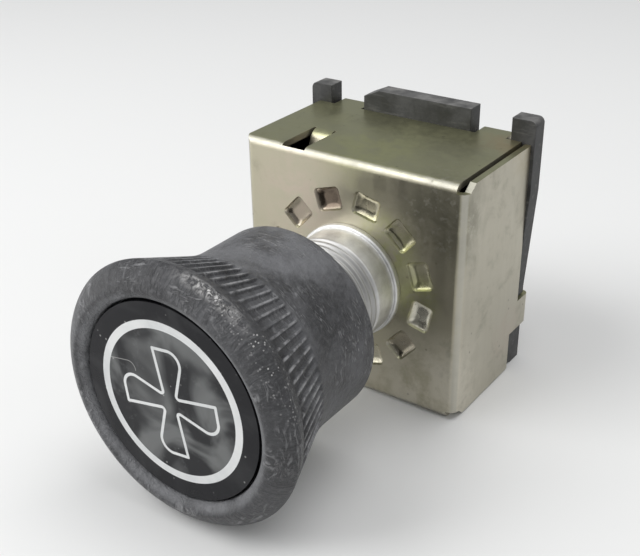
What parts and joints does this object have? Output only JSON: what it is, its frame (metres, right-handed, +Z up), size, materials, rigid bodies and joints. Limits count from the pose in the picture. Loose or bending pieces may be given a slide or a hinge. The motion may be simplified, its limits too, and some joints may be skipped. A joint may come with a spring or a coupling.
{
  "type": "fan speed control switch",
  "caption": "Rotary fan speed switch with a soft ribbed mushroom knob, threaded panel bushing, folded steel housing and blade terminals.",
  "frame": {"origin": "on the shaft's axis, at the front of the bushing's collar, where a panel seats", "axes": "+Z up, -Y along the shaft towards the knob, +Y into the housing, +X to the right as seen from the knob"},
  "size_m": [0.0327, 0.0604, 0.0341],
  "materials": {
    "plated_steel": "yellow passivated zinc plate, worn",
    "aluminium": "turned, bright",
    "board_resin": "moulded phenolic, dusty",
    "brass": "pressed, slightly tarnished",
    "bright_steel": "turned",
    "spring_steel": "rolled, oiled",
    "rotor_resin": "moulded",
    "grip_rubber": "grained, worn and dusty",
    "disc_plastic": "polished",
    "symbol_white": "filled white"
  },
  "bodies": {
    "switch_body": {"housing": "plated_steel", "bushing": "aluminium", "terminal_board": "board_resin", "contact_rivets": "brass", "terminal_feed": "brass", "terminal_low": "brass", "terminal_medium": "brass", "terminal_high": "brass", "thrust_washer": "brass"},
    "knob": {"shaft": "bright_steel", "retaining_clip": "spring_steel", "rotor": "rotor_resin", "detent_spring": "spring_steel", "contact_spider": "brass", "contact_spring": "spring_steel", "knob_core": "rotor_resin", "knob_clip": "spring_steel", "knob_grip": "grip_rubber", "symbol_disc": "disc_plastic", "symbol_ring": "symbol_white", "symbol_fan": "symbol_white"}
  },
  "joints": [
    {"name": "knob_turn", "type": "hinge", "parent": "switch_body", "child": "knob", "pos_m": [0, 0, 0], "axis": [0, 1, 0], "range_deg": [0, 90], "deforming": ["detent_spring"]}
  ]
}
